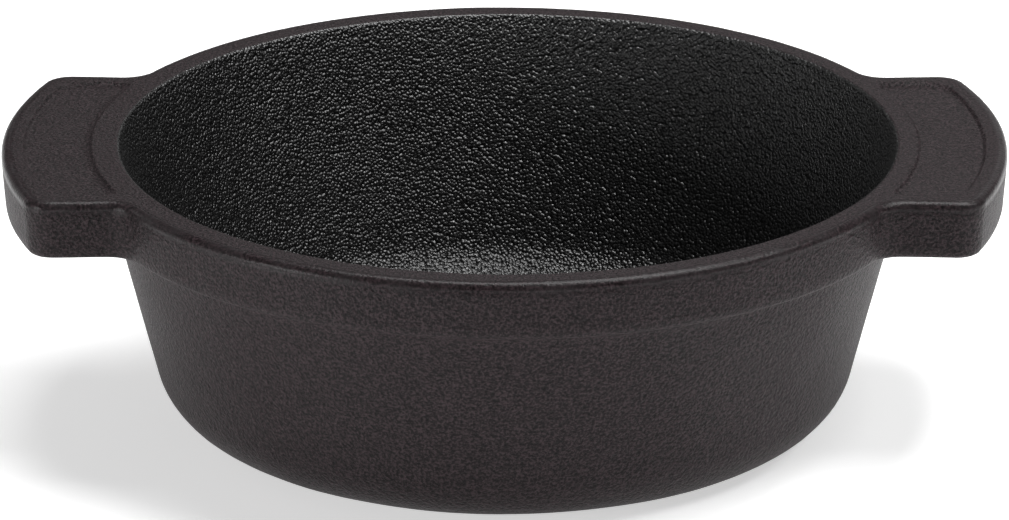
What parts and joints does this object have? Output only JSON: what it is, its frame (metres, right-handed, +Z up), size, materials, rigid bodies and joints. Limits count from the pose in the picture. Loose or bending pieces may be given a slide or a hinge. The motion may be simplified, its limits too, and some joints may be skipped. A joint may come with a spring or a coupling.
{
  "type": "dutch oven",
  "caption": "Open round cast iron pot with a thick rim collar and flat tab handles sunk on top, rough cast inside, for the hob, oven or table.",
  "frame": {"origin": "centre of the flat underside, where the pot stands", "axes": "+Z up along the pot's axis, X through both handles, Y across them"},
  "size_m": [0.2766, 0.2306, 0.0785],
  "materials": {
    "seasoned_iron": "seasoned black, fine sand-cast grain outside, coarser and glossier pebbled grain inside"
  },
  "bodies": {
    "root": {"pot_floor": "seasoned_iron", "base_corner": "seasoned_iron", "pot_wall": "seasoned_iron", "rim_collar": "seasoned_iron", "handle_right": "seasoned_iron", "handle_left": "seasoned_iron"}
  },
  "joints": []
}
